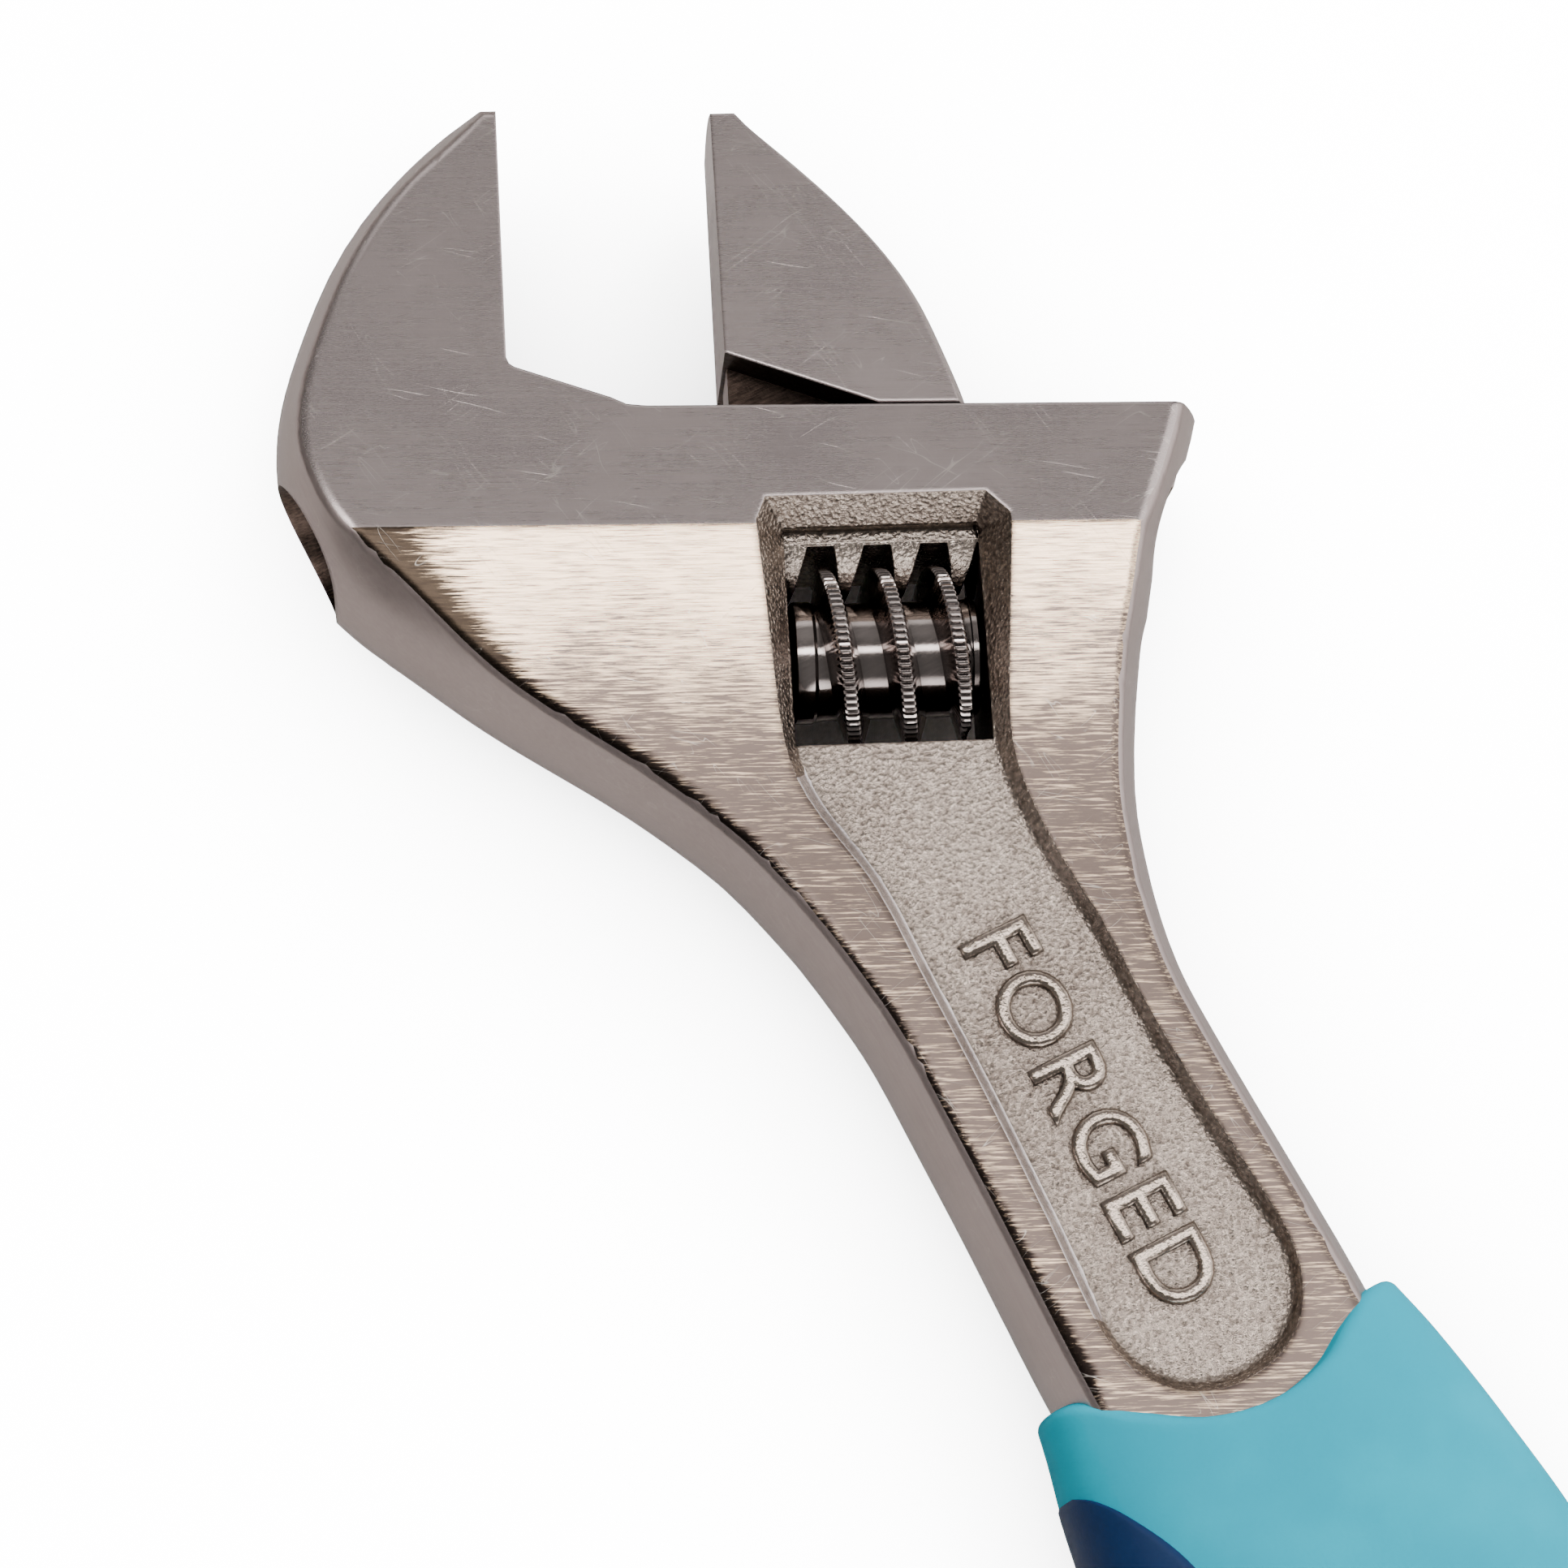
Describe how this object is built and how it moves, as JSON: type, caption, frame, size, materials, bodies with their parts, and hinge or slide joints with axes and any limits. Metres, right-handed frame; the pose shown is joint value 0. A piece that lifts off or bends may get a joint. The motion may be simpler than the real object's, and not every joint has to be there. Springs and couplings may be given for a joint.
{
  "type": "adjustable wrench",
  "caption": "Adjustable wrench: forged head with a fixed jaw, a sliding jaw driven by a knurled worm screw, and a moulded soft grip with a hanging hole.",
  "frame": {"origin": "centre of the hanging hole at mid thickness", "axes": "+Z along the hanging hole's axis, out of the front face; +Y up the handle to the head; +X to the right seen from the front, towards the movable jaw"},
  "size_m": [0.0664, 0.2553, 0.0194],
  "materials": {
    "forged_steel": "satin ground faces, cast recess",
    "worm_steel": "bright dark plating",
    "pin_steel": "turned",
    "sleeve_rubber": "matte moulded",
    "pad_rubber": "matte moulded"
  },
  "bodies": {
    "frame": {"wrench_body": "forged_steel", "worm_pin": "pin_steel", "grip_sleeve": "sleeve_rubber", "left_grip_pad": "pad_rubber", "right_grip_pad": "pad_rubber"},
    "jaw": {"movable_jaw": "forged_steel"},
    "worm": {"adjusting_worm": "worm_steel", "worm_spring": "pin_steel"}
  },
  "joints": [
    {"name": "jaw_slide", "type": "slide", "parent": "frame", "child": "jaw", "axis": [0.9092, -0.4163, 0], "range_m": [-0.0168, 0.0133]},
    {"name": "worm_spin", "type": "hinge", "parent": "frame", "child": "worm", "pos_m": [0.00378, 0.19229, 0], "axis": [0.9092, -0.4163, 0], "range_deg": [-1101, 1391]}
  ],
  "couplings": [
    {"joint": "worm_spin", "follows": "jaw_slide", "rad_per_m": -1444.4}
  ]
}
